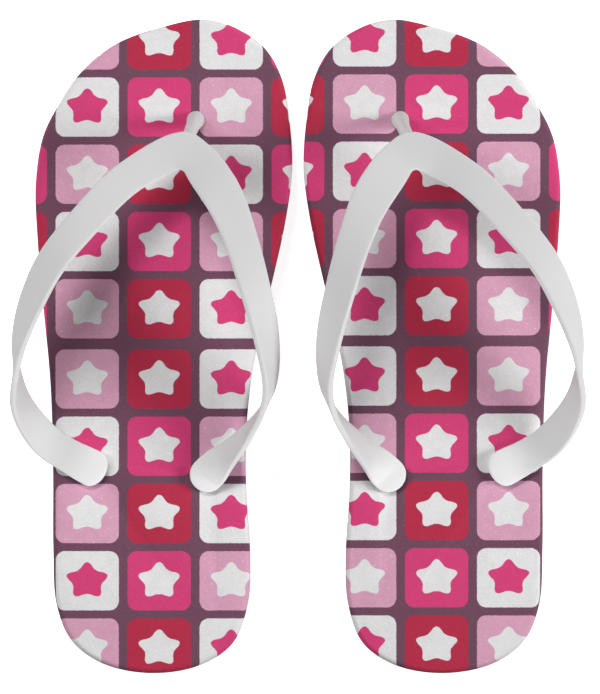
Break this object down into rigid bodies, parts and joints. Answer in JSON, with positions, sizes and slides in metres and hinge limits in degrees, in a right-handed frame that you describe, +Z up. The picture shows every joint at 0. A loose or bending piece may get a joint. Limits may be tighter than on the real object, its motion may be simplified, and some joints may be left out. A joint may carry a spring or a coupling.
{
  "type": "flip flop",
  "caption": "Left and right thong sandals, each with a layered foam sole, a star-print footbed and a twisted V strap held by a toe post and side plugs.",
  "frame": {"origin": "centre of the bottom of the pair's bounding box, on the floor between the two shoes", "axes": "+Z up, +Y from the heels to the toes, +X from the left shoe to the right shoe"},
  "size_m": [0.2194, 0.25, 0.0549],
  "materials": {
    "outsole": "matt moulded rubber, plum",
    "midsole": "closed-cell foam, plum",
    "cover": "fine woven face printed with tiles and stars in plum, red, magenta, pink and white",
    "strap": "soft satin moulding, white"
  },
  "bodies": {
    "left_rear": {"left_outsole_rear": "outsole", "left_midsole_rear": "midsole", "left_cover_rear": "cover", "left_lateral_plug": "strap", "left_medial_plug": "strap"},
    "left_fore": {"left_outsole_fore": "outsole", "left_midsole_fore": "midsole", "left_cover_fore": "cover", "left_toe_post": "strap"},
    "left_band": {"left_strap": "strap"},
    "right_rear": {"right_outsole_rear": "outsole", "right_midsole_rear": "midsole", "right_cover_rear": "cover", "right_lateral_plug": "strap", "right_medial_plug": "strap"},
    "right_fore": {"right_outsole_fore": "outsole", "right_midsole_fore": "midsole", "right_cover_fore": "cover", "right_toe_post": "strap"},
    "right_band": {"right_strap": "strap"}
  },
  "joints": [
    {"name": "left_sole_flex", "type": "hinge", "parent": "left_rear", "child": "left_fore", "pos_m": [-0.0512, 0.045, 0.01662], "axis": [1, 0, 0], "range_deg": [0, 40], "stiffness_Nm_per_rad": 1.2},
    {"name": "left_strap_lift", "type": "hinge", "parent": "left_rear", "child": "left_band", "pos_m": [-0.0512, -0.056, 0.01834], "axis": [1, 0, 0], "range_deg": [0, 11.5]},
    {"name": "pair_spacing", "type": "slide", "parent": "left_rear", "child": "right_rear", "axis": [1, 0, 0], "range_m": [0, 0.1]},
    {"name": "right_sole_flex", "type": "hinge", "parent": "right_rear", "child": "right_fore", "pos_m": [0.0512, 0.045, 0.01662], "axis": [1, 0, 0], "range_deg": [0, 40], "stiffness_Nm_per_rad": 1.2},
    {"name": "right_strap_lift", "type": "hinge", "parent": "right_rear", "child": "right_band", "pos_m": [0.0512, -0.056, 0.01834], "axis": [1, 0, 0], "range_deg": [0, 11.5]}
  ],
  "couplings": [
    {"joint": "left_strap_lift", "follows": "left_sole_flex", "ratio": 0.28},
    {"joint": "right_strap_lift", "follows": "right_sole_flex", "ratio": 0.28}
  ]
}
